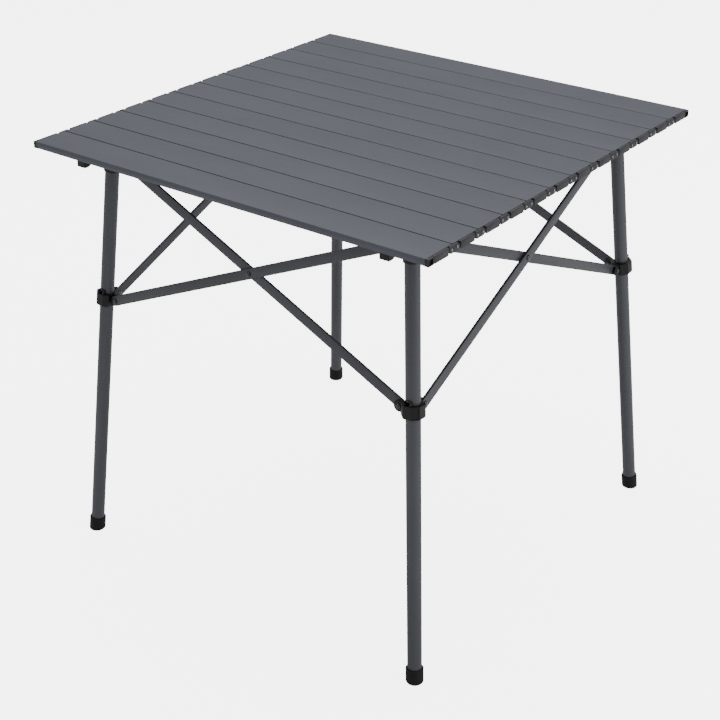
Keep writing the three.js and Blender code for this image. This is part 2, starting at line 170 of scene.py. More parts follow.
@dataclass(frozen=True)
class PlugSizes:
    """End plugs, empty sockets, links and pins."""

    depth: float = 14.0
    proud: float = 4.5
    drop: float = 0.3
    corner_radius: float = 3.0
    edge: float = 0.6
    link_gap: float = 1.54
    link_inset: float = 0.2
    pin_from_seam: float = 6.6
    pin_radius: float = 2.3
    pin_proud: float = 0.9
    dish_depth: float = 0.5
    socket_width: float = 12.6
    socket_wall: float = 1.6
    socket_depth: float = 3.4
    filler_share: float = 0.9
    filler_edge: float = 0.4
    filler_chamfer: float = 0.1


@dataclass(frozen=True)
class CatchSizes:
    """Catches under the first and the last slat."""

    from_end: float = 76.5
    width: float = 16.0
    height: float = 18.0
    setback: float = 17.0
    from_inner_edge: float = 2.58
    flat: float = 9.0
    edge: float = 0.9
    heel_radius: float = 1.5
    crest_radius: float = 1.0


@dataclass(frozen=True)
class LegSizes:
    """A leaning tube with its cap and its foot."""

    cap_from_seam: float = 23.2
    foot_outside_cap: float = 56.3
    lean_top_below_table: float = 19.3
    tube_radius: float = 11.0
    tube_wall: float = 1.2
    foot_wall: float = 2.2
    foot_height: float = 24.0
    foot_floor: float = 4.0
    foot_edge: float = 2.6
    foot_groove: float = 0.5
    foot_groove_shares: tuple[float, ...] = (0.62, 0.65, 0.70, 0.73)
    foot_lip: float = 1.0
    foot_lip_share: float = 0.3
    cap_wall: float = 1.7
    cap_skirt: float = 22.0
    cap_above_tube: float = 9.0
    cap_edge: float = 0.9
    cap_bead_shares: tuple[float, ...] = (5.0, 5.4, 6.0, 6.4)


@dataclass(frozen=True)
class FoldSizes:
    """Bars, ears, collars, rivets and snap buttons."""

    cap_pivot_below_table: float = 27.0
    collar_pivot: float = 439.7
    bar_from_cap: float = 0.5
    bar_width: float = 16.0
    bar_thickness: float = 5.0
    bar_edge: float = 1.0
    ear_radius: float = 8.5
    ear_edge: float = 0.9
    free_ear_relief: float = 1.8
    end_head_radius: float = 5.2
    small_head_radius: float = 4.3
    head_proud: float = 2.2
    head_rim: float = 0.5
    collar_wall: float = 5.1
    collar_above: float = 8.4
    collar_below: float = 12.7
    collar_chamfer: float = 2.0
    collar_corner_radius: float = 1.2
    cut_radius: float = 0.6
    cut_corner_radius: float = 0.2
    chamfer_share: float = 0.12
    chamfer_top_share: float = 1.15
    mouth_shares: tuple[float, ...] = (0.4, 0.1, 0.35, 0.25)
    panel_width: float = 9.0
    panel_depth: float = 0.8
    panel_rim: float = 2.5
    button_radius: float = 3.6
    button_proud: float = 3.1
    button_above: float = 12.4
    tab_width: float = 13.0
    tab_thickness: float = 3.8
    tab_above_button: float = 1.8
    tab_corner_radius: float = 1.1
    notch_corner_radius: float = 0.5
    tab_edge: float = 0.5
    tab_edge_share: float = 0.3


FIT = FitSizes()
TOP = TopSizes()
PLUG = PlugSizes()
CATCH = CatchSizes()
LEG = LegSizes()
FOLD = FoldSizes()


# Surfaces


@dataclass
class Skin:
    """Closed surfaces as points and faces.

    Attributes:
        points: one row of x, y and z for each point, in millimetres.
        faces: point numbers round each face, seen from outside.
        places: the points before the skin was placed, which patterns follow.
    """

    points: Array
    faces: list[list[int]]
    places: Array

    def placed(self, matrix: Array) -> "Skin":
        """Moves the surface and keeps the places that patterns follow.

        Args:
            matrix: a 4 by 4 placement without scale.

        Returns:
            The placed surface.
        """
        return Skin(self.points @ matrix[:3, :3].T + matrix[:3, 3], self.faces, self.places)

    def mirrored(self) -> "Skin":
        """The surface mirrored in X, with its faces turned round so that they still point outwards."""
        flip = np.array([-1.0, 1.0, 1.0])
        return Skin(self.points * flip, [face[::-1] for face in self.faces], self.places * flip)


def joined(skins: list[Skin]) -> Skin:
    """Puts several surfaces into one.

    Args:
        skins: the surfaces, none of which is changed.

    Returns:
        One surface with the faces of each renumbered.
    """
    starts = np.cumsum([0] + [len(skin.points) for skin in skins])
    faces = [[int(start) + i for i in face] for skin, start in zip(skins, starts) for face in skin.faces]
    points = np.concatenate([skin.points for skin in skins])
    return Skin(points, faces, np.concatenate([skin.places for skin in skins]))


def lofted(rings: Array, is_tube: bool = False) -> Skin:
    """Joins rings of points by four-sided faces.

    Point i of ring k meets point i + 1 of the same ring and point i of ring k + 1. Rings run
    anticlockwise seen from where they climb to. A solid is closed by a flat face on its first and
    on its last ring, and a tube has its last ring joined to its first.

    Args:
        rings: an array of rings by points by three.
        is_tube: whether the last ring meets the first.

    Returns:
        The closed surface.
    """
    count, size = rings.shape[:2]
    base = np.arange(size)
    following = (base + 1) % size
    rows = np.arange(count if is_tube else count - 1)[:, None] * size
    above = (rows + size) % (count * size)
    quads = np.stack([rows + base, rows + following, above + following, above + base], axis=-1)
    faces = quads.reshape(-1, 4).tolist()
    if not is_tube:
        faces.append(base[::-1].tolist())
        faces.append((base + (count - 1) * size).tolist())
    points = rings.reshape(-1, 3)
    return Skin(points, faces, points.copy())


def softened(corners: list[tuple[float, float, float]], steps: int = 4) -> Array:
    """A closed outline whose corners are rounded.

    At each corner of radius r the outline leaves its edge at the tangent point and runs to the next
    one on the curve (1 - t)^2 P + 2 t (1 - t) C + t^2 Q, with C the corner and P and Q the tangent
    points. A corner of radius zero stays sharp.

    Args:
        corners: x, y and radius of each corner, anticlockwise.
        steps: stretches in each rounded corner.

    Returns:
        The outline's points.
    """
    table = np.array(corners, float)
    place, radius = table[:, :2], table[:, 2]
    back = np.roll(place, 1, axis=0) - place
    ahead = np.roll(place, -1, axis=0) - place
    back_unit = back / np.linalg.norm(back, axis=1)[:, None]
    ahead_unit = ahead / np.linalg.norm(ahead, axis=1)[:, None]
    cosine = np.clip(np.sum(back_unit * ahead_unit, axis=1), -1, 1)
    reach = radius / np.tan(np.arccos(cosine) / 2)
    t = np.linspace(0, 1, steps + 1)[None, :, None]
    first = (place + back_unit * reach[:, None])[:, None]
    last = (place + ahead_unit * reach[:, None])[:, None]
    curves = (1 - t) ** 2 * first + 2 * t * (1 - t) * place[:, None] + t**2 * last
    kept = [curve if r > 0 else curve[:1] for curve, r in zip(curves, radius)]
    return np.concatenate(kept)


def inset(outline: Array, depth: float) -> Array:
    """Moves a closed outline inwards.

    Each point moves along the bisector of its two edges' inward normals, by depth over the cosine of
    half the turn there, which is held under two depths at a sharp corner.

    Args:
        outline: points anticlockwise.
        depth: how far the edges move in.

    Returns:
        The smaller outline, point for point.
    """
    ahead = np.roll(outline, -1, axis=0) - outline
    ahead = ahead / np.maximum(np.linalg.norm(ahead, axis=1), 1e-9)[:, None]
    normal = np.stack([-ahead[:, 1], ahead[:, 0]], axis=1)
    both = normal + np.roll(normal, 1, axis=0)
    both = both / np.maximum(np.linalg.norm(both, axis=1), 1e-9)[:, None]
    share = np.maximum(np.sum(both * normal, axis=1), SHARPEST_SHARE)
    return outline + both * (depth / share)[:, None]


def stacked(levels: list[tuple[Array, float]]) -> Array:
    """Level rings.

    Args:
        levels: an outline and its height, for each ring.

    Returns:
        An array of rings by points by three.
    """
    return np.array([np.column_stack([outline, np.full(len(outline), height)]) for outline, height in levels])


def slab(outline: Array, low: float, high: float, edge: float, steps: int = 3) -> Skin:
    """A plate with rounded edges along both faces.

    Ring heights are low + e (1 - cos a) and high - e (1 - cos a), and each ring is the outline moved
    in by e (1 - sin a), with a running over a quarter turn.

    Args:
        outline: points anticlockwise, in the plate's plane.
        low: height of the lower face.
        high: height of the upper face.
        edge: radius of the rounded edges.
        steps: stretches in each rounded edge.

    Returns:
        The plate, with the outline in X-Y and its thickness along Z.
    """
    angle = np.linspace(0, math.pi / 2, steps + 1)
    depths = edge * (1 - np.sin(angle))
    rises = edge * (1 - np.cos(angle))
    heights = np.concatenate([low + rises, (high - rises)[::-1]])
    insets = np.concatenate([depths, depths[::-1]])
    return lofted(stacked([(inset(outline, depth), height) for depth, height in zip(insets, heights)]))


def turned(profile: Array, segments: int, is_tube: bool = False) -> Skin:
    """A surface of revolution about Z.

    Ring k has radius r_k at height h_k, with its points at r cos a, r sin a.

    Args:
        profile: rows of radius and height.
        segments: points round each ring.
        is_tube: whether the profile closes on itself.

    Returns:
        The closed surface.
    """
    return lofted(circles(profile, segments), is_tube)


def circles(profile: Array, segments: int) -> Array:
    """Level rings of the given radii and heights.

    Args:
        profile: rows of radius and height.
        segments: points round each ring.

    Returns:
        An array of rings by points by three.
    """
    angle = np.arange(segments) * (2 * math.pi / segments)
    ring = np.stack([np.cos(angle), np.sin(angle), np.zeros(segments)], axis=1)
    rise = np.array([0.0, 0.0, 1.0])
    return profile[:, 0][:, None, None] * ring + profile[:, 1][:, None, None] * rise


def stadium(start: float, stop: float, radius: float, steps: int = 12) -> Array:
    """An outline with two straight sides and two round ends, whose centres lie on X.

    Args:
        start: place of the left centre.
        stop: place of the right centre.
        radius: of both ends.
        steps: stretches in each half circle.

    Returns:
        Points anticlockwise from below the right centre.
    """
    angle = np.linspace(-math.pi / 2, math.pi / 2, steps + 1)
    right = np.stack([stop + radius * np.cos(angle), radius * np.sin(angle)], axis=1)
    left = np.stack([start - radius * np.cos(angle), -radius * np.sin(angle)], axis=1)
    return np.concatenate([right, left])


def tongue(start: float, stop: float, radius: float, steps: int = 12) -> Array:
    """An outline with a square left end and a round right end.

    Args:
        start: place of the left end.
        stop: place of the right end's centre.
        radius: half the width, and of the right end.
        steps: stretches in the half circle.

    Returns:
        Points anticlockwise from below the right centre.
    """
    half = stadium(start, stop, radius, steps)[: steps + 1]
    return np.concatenate([half, [[start, radius], [start, -radius]]])


def dome(radius: float, proud: float, rim: float, base: float, segments: int = 24) -> Skin:
    """A low rivet head: a short upright rim, then a quarter of an ellipse up to its crown.

    Args:
        radius: of the head.
        proud: height of the crown over the base.
        rim: height of the upright rim.
        base: height that the head stands on.
        segments: points round the head.

    Returns:
        The closed head.
    """
    angle = np.linspace(0, math.pi / 2 * CROWN_SHARE, CROWN_POINTS)
    crown = np.stack([radius * np.cos(angle), base + rim + (proud - rim) * np.sin(angle)], axis=1)
    profile = np.concatenate([[[radius, base]], crown])
    return turned(profile, segments)


def evenly(outline: Array, count: int) -> Array:
    """Spreads a number of points evenly along a closed outline.

    Args:
        outline: points of the outline.
        count: points wanted.

    Returns:
        The new points, equally far apart along the outline.
    """
    closed = np.concatenate([outline, outline[:1]])
    lengths = np.linalg.norm(np.diff(closed, axis=0), axis=1)
    along = np.concatenate([[0.0], np.cumsum(lengths)])
    wanted = np.arange(count) * (along[-1] / count)
    return np.stack([np.interp(wanted, along, closed[:, axis]) for axis in (0, 1)], axis=1)


# Placements


def basis(x: Array, y: Array, z: Array, origin: Array) -> Array:
    """A placement from three axes and an origin."""
    made = np.eye(4)
    made[:3, 0], made[:3, 1], made[:3, 2], made[:3, 3] = x, y, z, origin
    return made


def shift(x: float = 0.0, y: float = 0.0, z: float = 0.0) -> Array:
    """A placement that only moves."""
    made = np.eye(4)
    made[:3, 3] = x, y, z
    return made


def spin(axis: int, angle: float) -> Array:
    """A placement that turns about one axis.

    Args:
        axis: 0 for X, 1 for Y and 2 for Z.
        angle: in radians.

    Returns:
        The placement.
    """
    i, j = (axis + 1) % 3, (axis + 2) % 3
    made = np.eye(4)
    made[i, i] = made[j, j] = math.cos(angle)
    made[i, j], made[j, i] = -math.sin(angle), math.sin(angle)
    return made


def unit(x: float, y: float, z: float) -> Array:
    """A direction of length one."""
    vector = np.array([x, y, z], float)
    return vector / np.linalg.norm(vector)


ALONG_X = basis(np.array([0, 1, 0]), np.array([0, 0, 1]), np.array([1, 0, 0]), np.zeros(3))
ALONG_Y = basis(np.array([1, 0, 0]), np.array([0, 0, 1]), np.array([0, -1, 0]), np.zeros(3))


# Shader node groups and finishes


Socket = bpy.types.NodeSocket


@dataclass(frozen=True)
class Patterns:
    """Scales of the patterns, in waves per metre, and how they are blended."""

    middle: tuple[float, float] = (0.3, 0.7)
    grain_fine: tuple[float, float, float] = (14, 2600, 2600)
    grain_broad: tuple[float, float, float] = (3, 420, 420)
    grain_share: float = 0.5
    speckle_grains: float = 2400
    speckle_waves: float = 520
    drift: tuple[float, float, float] = (5, 11, 11)
    drift_share: float = 0.6
    fine_share: float = 0.4
    bump_strength: float = 0.5
    step: tuple[float, float, float] = (0.31, 0.17, 0.23)
    steps_round: int = 97


PATTERNS = Patterns()


class Sheet:
    """Adds nodes to one node tree and links them."""

    def __init__(self, tree: bpy.types.NodeTree) -> None:
        """Takes the tree that the nodes go to."""
        self.tree = tree

    def add(self, kind: str, **settings: object) -> bpy.types.Node:
        """Adds a node.

        Args:
            kind: Blender's type name of the node.
            **settings: its properties.

        Returns:
            The node.
        """
        node = self.tree.nodes.new(kind)
        for name, value in settings.items():
            setattr(node, name, value)
        return node

    def link(self, source: Socket, target: Socket) -> None:
        """Links an output to an input."""
        self.tree.links.new(source, target)

    def noise(self, vector: Socket, scale: float, detail: float, rough: float) -> Socket:
        """Adds a noise texture.

        Args:
            vector: where it is read.
            scale: waves per unit of the vector.
            detail: octaves.
            rough: share that each finer octave keeps.

        Returns:
            Its value output.
        """
        node = self.add("ShaderNodeTexNoise")
        node.inputs["Scale"].default_value = scale
        node.inputs["Detail"].default_value = detail
        node.inputs["Roughness"].default_value = rough
        self.link(vector, node.inputs["Vector"])
        return node.outputs["Fac"]

    def stretched(self, vector: Socket, scale: tuple[float, float, float]) -> Socket:
        """Adds a Mapping node that scales a vector."""
        node = self.add("ShaderNodeMapping")
        node.inputs["Scale"].default_value = scale
        self.link(vector, node.inputs["Vector"])
        return node.outputs["Vector"]

    def ranged(self, value: Socket, low: float, high: float) -> Socket:
        """Spreads the middle of a noise over a new range.

        Args:
            value: a noise, mostly within its middle range.
            low: result at the range's start and under.
            high: result at its end and over.

        Returns:
            The spread value.
        """
        node = self.add("ShaderNodeMapRange")
        for name, limit in zip(("From Min", "From Max", "To Min", "To Max"), (*PATTERNS.middle, low, high)):
            node.inputs[name].default_value = limit
        self.link(value, node.inputs["Value"])
        return node.outputs["Result"]


def new_group(name: str, outputs: dict[str, str]) -> tuple[Sheet, Socket, bpy.types.Node]:
    """Starts a node group with one vector input.

    Args:
        name: of the group.
        outputs: socket types by name.

    Returns:
        Its sheet, the vector that it is given, and its output node.
    """
    tree = bpy.data.node_groups.new(name, "ShaderNodeTree")
    tree.interface.new_socket("Place", in_out="INPUT", socket_type="NodeSocketVector")
    for label, kind in outputs.items():
        tree.interface.new_socket(label, in_out="OUTPUT", socket_type=kind)
    sheet = Sheet(tree)
    given = sheet.add("NodeGroupInput").outputs["Place"]
    return sheet, given, sheet.add("NodeGroupOutput")


def drawn_grain_group() -> bpy.types.NodeTree:
    """Faint lines along a drawn or rolled piece's local X, as a height and as a mask."""
    sheet, place, out = new_group("drawn_grain", {"Lines": "NodeSocketFloat", "Height": "NodeSocketFloat"})
    fine = sheet.noise(sheet.stretched(place, PATTERNS.grain_fine), 1, 3, 0.6)
    broad = sheet.noise(sheet.stretched(place, PATTERNS.grain_broad), 1, 2, 0.5)
    blend = sheet.add("ShaderNodeMath", operation="MULTIPLY_ADD")
    blend.inputs[1].default_value = 1 - PATTERNS.grain_share
    sheet.link(fine, blend.inputs[0])
    half = sheet.add("ShaderNodeMath", operation="MULTIPLY")
    half.inputs[1].default_value = PATTERNS.grain_share
    sheet.link(broad, half.inputs[0])
    sheet.link(half.outputs[0], blend.inputs[2])
    sheet.link(blend.outputs[0], out.inputs["Lines"])
    sheet.link(fine, out.inputs["Height"])
    return sheet.tree


def speckle_group() -> bpy.types.NodeTree:
    """The fine, even texture of a sprayed coat or of a spark-eroded mould."""
    sheet, place, out = new_group("speckle", {"Mask": "NodeSocketFloat", "Height": "NodeSocketFloat"})
    grains = sheet.noise(place, PATTERNS.speckle_grains, 2, 0.55)
    waves = sheet.noise(place, PATTERNS.speckle_waves, 2, 0.5)
    total = sheet.add("ShaderNodeMath", operation="ADD")
    sheet.link(grains, total.inputs[0])
    sheet.link(waves, total.inputs[1])
    sheet.link(grains, out.inputs["Mask"])
    sheet.link(total.outputs[0], out.inputs["Height"])
    return sheet.tree


def drift_group() -> bpy.types.NodeTree:
    """A slow change of tone over a hand's breadth, such as handling and uneven coats leave."""
    sheet, place, out = new_group("tone_drift", {"Tone": "NodeSocketFloat"})
    slow = sheet.noise(sheet.stretched(place, PATTERNS.drift), 1, 3, 0.55)
    sheet.link(slow, out.inputs["Tone"])
    return sheet.tree


class Groups:
    """The node groups, each built once."""

    def __init__(self) -> None:
        """Builds the groups."""
        self.grain = drawn_grain_group()
        self.speckle = speckle_group()
        self.drift = drift_group()


@dataclass(frozen=True)
class Finish:
    """A finish: its tones, gloss and relief.

    Attributes:
        name: of the material.
        dark: linear colour where the tone is lowest.
        light: linear colour where it is highest.
        metallic: share of metal in the shader.
        gloss: roughness from its smoothest to its roughest places.
        relief: height of the finest texture, in metres.
        is_drawn: whether faint lines run along the piece.
        coat: weight of a clear coat.
        specular: level of the plain reflection.
    """

    name: str
    dark: tuple[float, float, float]
    light: tuple[float, float, float]
    metallic: float
    gloss: tuple[float, float]
    relief: float
    is_drawn: bool = False
    coat: float = 0.0
    specular: float = 0.5

    def material(self, groups: Groups) -> bpy.types.Material:
        """Builds the material.

        Args:
            groups: the shared node groups.

        Returns:
            The finished material.
        """
        made = bpy.data.materials.new(self.name)
        made.use_nodes = True
        sheet = Sheet(made.node_tree)
        shader = made.node_tree.nodes["Principled BSDF"]
        shader.inputs["Metallic"].default_value = self.metallic
        shader.inputs["Coat Weight"].default_value = self.coat
        shader.inputs["Specular IOR Level"].default_value = self.specular
        place = sheet.add("ShaderNodeAttribute", attribute_name=PLACE).outputs["Vector"]
        drift = self.grouped(sheet, groups.drift, place)
        speckle = self.grouped(sheet, groups.speckle, place)
        fine, height = speckle.outputs["Mask"], speckle.outputs["Height"]
        if self.is_drawn:
            grain = self.grouped(sheet, groups.grain, place)
            fine, height = grain.outputs["Lines"], grain.outputs["Height"]
        tones = sheet.add("ShaderNodeMath", operation="ADD")
        sheet.link(sheet.ranged(drift.outputs["Tone"], 0, PATTERNS.drift_share), tones.inputs[0])
        sheet.link(sheet.ranged(fine, 0, PATTERNS.fine_share), tones.inputs[1])
        mix = sheet.add("ShaderNodeMix", data_type="RGBA")
        mix.inputs["A"].default_value = (*self.dark, 1)
        mix.inputs["B"].default_value = (*self.light, 1)
        sheet.link(tones.outputs[0], mix.inputs["Factor"])
        # Painted shade: where the seam attribute is high, the colour goes to a near-black copy of the dark
        # tone, for the shade down the seams between slats.
        painted_shade = sheet.add("ShaderNodeMix", data_type="RGBA")
        painted_shade.inputs["B"].default_value = (*(tone * PAINTED_SHADE_SHARE for tone in self.dark), 1)
        seam_shade = sheet.add("ShaderNodeAttribute", attribute_name=PAINTED_SEAM_SHADE).outputs["Fac"]
        sheet.link(seam_shade, painted_shade.inputs["Factor"])
        sheet.link(mix.outputs["Result"], painted_shade.inputs["A"])
        sheet.link(painted_shade.outputs["Result"], shader.inputs["Base Color"])
        sheet.link(sheet.ranged(fine, *self.gloss), shader.inputs["Roughness"])
        bump = sheet.add("ShaderNodeBump")
        bump.inputs["Strength"].default_value = PATTERNS.bump_strength
        bump.inputs["Distance"].default_value = self.relief
        sheet.link(height, bump.inputs["Height"])
        sheet.link(bump.outputs["Normal"], shader.inputs["Normal"])
        return made

    @staticmethod
    def grouped(sheet: Sheet, tree: bpy.types.NodeTree, place: Socket) -> bpy.types.Node:
        """Places a node group in a material and gives it the place that it reads."""
        node = sheet.add("ShaderNodeGroup", node_tree=tree)
        sheet.link(place, node.inputs["Place"])
        return node


SLAT_COAT = Finish("slat_coat", (0.066, 0.073, 0.091), (0.084, 0.093, 0.115), 0.2, (0.44, 0.56), 2e-5, True)
LEG_COAT = Finish("leg_coat", (0.062, 0.065, 0.076), (0.082, 0.086, 0.100), 0.3, (0.30, 0.40), 2e-5, True)
BAR_COAT = Finish("bar_coat", (0.056, 0.057, 0.065), (0.088, 0.090, 0.103), 0.3, (0.32, 0.44), 3e-5, True)
PLUG_GREY = Finish(
    "plug_plastic", (0.018, 0.018, 0.021), (0.027, 0.027, 0.031), 0.0, (0.40, 0.56), 5e-5, specular=0.4
)
BLACK_MOULDING = Finish(
    "black_moulding", (0.0035, 0.0035, 0.004), (0.007, 0.007, 0.008), 0.0, (0.34, 0.50), 6e-5, specular=0.35
)
FOOT_RUBBER = Finish(
    "foot_rubber", (0.003, 0.003, 0.0035), (0.007, 0.007, 0.0075), 0.0, (0.55, 0.7), 8e-5, specular=0.3
)
RIVET_BLACK = Finish(
    "rivet_black", (0.003, 0.003, 0.0035), (0.006, 0.006, 0.007), 0.0, (0.10, 0.18), 1e-5, coat=0.6
)
PIN_STEEL = Finish("pin_steel", (0.16, 0.16, 0.17), (0.28, 0.28, 0.29), 1.0, (0.24, 0.36), 1e-5)


class Workshop:
    """Turns skins into finished Blender pieces and counts them."""

    def __init__(self) -> None:
        """Builds the node groups and starts with no material and no piece."""
        self.groups = Groups()
        self.materials: dict[str, bpy.types.Material] = {}
        self.count = 0

    def material(self, finish: Finish) -> bpy.types.Material:
        """The material of a finish, built at its first use."""
        if finish.name not in self.materials:
            self.materials[finish.name] = finish.material(self.groups)
        return self.materials[finish.name]

    def piece(
        self,
        name: str,
        skin: Skin,
        finish: Finish,
        body: str,
        slot: Slot,
        node: str | None = None,
        sharp: float = PLAIN_SHARP,
        seam_shade: Array | None = None,
    ) -> bpy.types.Object:
        """Makes one piece of the table and hands it to the frame.

        Args:
            name: of the piece.
            skin: its surface, in place, in millimetres.
            finish: what it is dressed in.
            body: the CAD body that it rides on.
            slot: the record's material slot; not used.
            node: the CAD node that it stands for, if any.
            sharp: turn in degrees past which an edge is drawn sharp.
            seam_shade: painted shade down the seams, from 0 to 1 by how far down a seam each point lies,
                where any does.

        Returns:
            The piece's object, at the origin.
        """
        mesh = bpy.data.meshes.new(name)
        mesh.from_pydata((skin.points * MM).tolist(), [], skin.faces)
        attribute = mesh.attributes.new(PLACE, "FLOAT_VECTOR", "POINT")
        offset = np.array(PATTERNS.step) * (self.count % PATTERNS.steps_round)
        attribute.data.foreach_set("vector", (skin.places * MM + offset).astype(np.float32).ravel())
        # Painted shade down the seams, stored per point; pieces without it get zero.
        depth = np.zeros(len(skin.points)) if seam_shade is None else seam_shade
        mesh.attributes.new(PAINTED_SEAM_SHADE, "FLOAT", "POINT").data.foreach_set("value", depth.astype(np.float32))
        mesh.materials.append(self.material(finish))
        mesh.shade_smooth()
        mesh.set_sharp_from_angle(angle=math.radians(sharp))
        mesh.validate()
        made = bpy.data.objects.new(name, mesh)
        bpy.context.scene.collection.objects.link(made)
        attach(made, body)
        if node is not None:
            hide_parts(node)
        self.count += 1
        LOG.info("%s: %d points, %d faces", name, len(skin.points), len(skin.faces))
        return made


# The roll-up top


@dataclass(frozen=True)
class Tabletop:
    """Twelve slats with end plugs, catches, links and pins."""

    shop: Workshop
    top: TopSizes = TOP
    plug: PlugSizes = PLUG
    catch: CatchSizes = CATCH

    def build(self) -> None:
        """Builds every slat and every seam."""
        for number in range(1, self.top.slats + 1):
            self.build_slat(number)
        for number in range(1, self.top.slats):
            self.build_seam(number)

    def place_of(self, number: float) -> Array:
        """Where a slat's top middle lies, or a seam's at half a number."""
        return shift(0, self.top.first_y + (number - 1) * self.top.pitch, self.top.above_ground)

    def build_slat(self, number: int) -> None:
        """Builds one slat with its plugs, and its catches if it is an outer one.

        Args:
            number: from 1 at the front to the last at the back.
        """
        label = f"slat_{number:02d}"
        is_last = number == self.top.slats
        is_outer = number == 1 or is_last
        place = self.place_of(number)
        if is_last:
            place = place @ spin(2, math.pi)
        profile = self.extrusion()
        # Painted shade down the slat's sides in the seams, none on an end slat's outer side.
        seam_shade = self.seam_shade_mask(profile.points, is_outer)
        placed = profile.placed(place)
        self.shop.piece(f"{label}_profile", placed, SLAT_COAT, label, Slot.SLAT, label, SLAT_SHARP, seam_shade)
        ends = [self.filler(), self.plug_face()]
        if is_outer:
            ends.append(self.socket())
        ends += [end.mirrored() for end in ends]
        self.shop.piece(f"{label}_plugs", joined(ends).placed(place), PLUG_GREY, label, Slot.LINK)
        if is_outer:
            catches = joined([self.catch_wedge(-1), self.catch_wedge(1)]).placed(place)
            self.shop.piece(f"{label}_catches", catches, BLACK_MOULDING, label, Slot.MOULDED)

    def seam_shade_mask(self, points: Array, is_outer: bool) -> Array:
        """How far down a seam each point of a slat lies, as its depth over half the edge radius, which is
        painted as shade there.

        Args:
            points: of the slat, in its own frame.
            is_outer: whether the slat's -Y side faces no other slat.

        Returns:
            A value from 0 to 1 for each point.
        """
        depth = np.clip(-points[:, 2] * 2 / self.top.edge_radius, 0, 1)
        is_side = np.abs(points[:, 1]) > self.top.half_width - self.top.taper - self.top.foot_radius
        return depth * is_side * ~(is_outer & (points[:, 1] < 0))

    def extrusion(self) -> Skin:
        """The slat's drawn profile, open below through its slot, carried along X from end to end."""
        t = self.top
        half, base = t.half_width, t.half_width - t.taper
        floor = -t.height + t.side_wall
        inner, inner_base = half - t.side_wall, base - t.side_wall
        lip = t.side_wall / 3
        right = [
            (t.slot / 2, -t.height, lip),
            (base, -t.height, t.foot_radius),
            (half, -t.straight_side, t.foot_radius),
            (half, 0, t.edge_radius),
        ]
        hollow_left = [
            (-t.slot / 2, floor, lip),
            (-inner_base, floor, 0),
            (-inner, -t.straight_side, 0),
            (-inner, -t.top_wall, t.foot_radius),
        ]
        left = [(-y, z, r) for y, z, r in right[::-1]]
        hollow_right = [(-y, z, r) for y, z, r in hollow_left[::-1]]
        outline = softened(right + left + hollow_left + hollow_right)
        return self.turned_over(lofted(stacked([(outline, -t.end), (outline, t.end)])))

    @staticmethod
    def turned_over(skin: Skin) -> Skin:
        """Lays a skin whose outline is in X-Y and whose length is along Z down along X."""
        laid = skin.placed(ALONG_X)
        return Skin(laid.points, laid.faces, laid.points.copy())

    def filler(self) -> Skin:
        """The plug's body inside the slat's end, which fills the hollow there."""
        t, p = self.top, self.plug
        gap, edge = t.side_wall * p.filler_share, p.filler_edge
        half, base = t.half_width - gap, t.half_width - t.taper - gap
        low, high = -t.height + gap / 2, -t.top_wall * p.filler_share
        right = [(base, low, edge), (half, -t.straight_side, edge), (half, high, edge)]
        left = [(-half, high, edge), (-half, -t.straight_side, edge), (-base, low, edge)]
        outline = softened(left[-1:] + right + left[:-1], 2)
        near, far = t.end - p.depth, t.end + FIT.clearance / 2
        return self.turned_over(slab(outline, near, far, p.filler_chamfer, 1))

    def plug_face(self) -> Skin:
        """The plug's proud face, square above and rounded below, at the +X end."""
        t, p = self.top, self.plug
        radius = t.height / 2 - p.link_inset
        half = t.pitch / 2 - (p.pin_from_seam + radius + p.link_gap)
        corners = [
            (-half, -t.height, p.corner_radius),
            (half, -t.height, p.corner_radius),
            (half, -p.drop, p.edge),
            (-half, -p.drop, p.edge),
        ]
        return self.turned_over(slab(softened(corners, 6), t.end - 1, t.end + p.proud, p.edge))

    def socket(self) -> Skin:
        """The empty half socket at an outer corner.

        Rings of one rounded rectangle run out to the face, over a rounded rim, and back into the
        pocket, whose floor closes them.
        """
        t, p = self.top, self.plug
        near = -t.half_width
        corners = [
            (near, -t.height, p.corner_radius / 2),
            (near + p.socket_width, -t.height, p.corner_radius / 2),
            (near + p.socket_width, -p.drop, p.edge),
            (near, -p.drop, p.edge),
        ]
        outline = softened(corners, 4)
        face = t.end + p.proud
        wall, edge = p.socket_wall, p.edge / 2
        depths = [0, 0, edge / 3, edge, wall - edge, wall, wall]
        heights = [t.end - 1, face - edge, face - edge / 3, face, face, face - edge, face - p.socket_depth]
        rings = stacked([(inset(outline, depth), height) for depth, height in zip(depths, heights)])
        return self.turned_over(lofted(rings))

    def catch_wedge(self, side: int) -> Skin:
        """A catch: a quarter-round wedge under an outer slat.

        Args:
            side: -1 for the left one and 1 for the right one.

        Returns:
            The wedge in the slat's own frame.
        """
        t, c = self.top, self.catch
        outer, inner = -t.half_width + c.setback, t.half_width - c.from_inner_edge
        crest, low = outer + c.flat, -t.height - c.height
        bulge = crest + (inner - outer) / 2
        s = np.linspace(0, 1, 13)[1:-1]
        curve_y = (1 - s) ** 2 * crest + 2 * s * (1 - s) * bulge + s**2 * inner
        curve_z = (1 - s) ** 2 * low + 2 * s * (1 - s) * (-t.height - c.height / 2) - s**2 * t.height
        top = -t.height + t.side_wall
        corners = [(outer, top, 0), (outer, low, c.heel_radius), (crest, low, c.crest_radius)]
        start = softened(corners + [(inner, -t.height, 0), (inner, top, 0)], 5)
        curve = np.stack([curve_y, curve_z], axis=1)
        outline = np.concatenate([start[:-2], curve, start[-2:]])
        wedge = self.turned_over(slab(outline, -c.width / 2, c.width / 2, c.edge))
        return wedge.placed(shift(side * (t.end - c.from_end)))

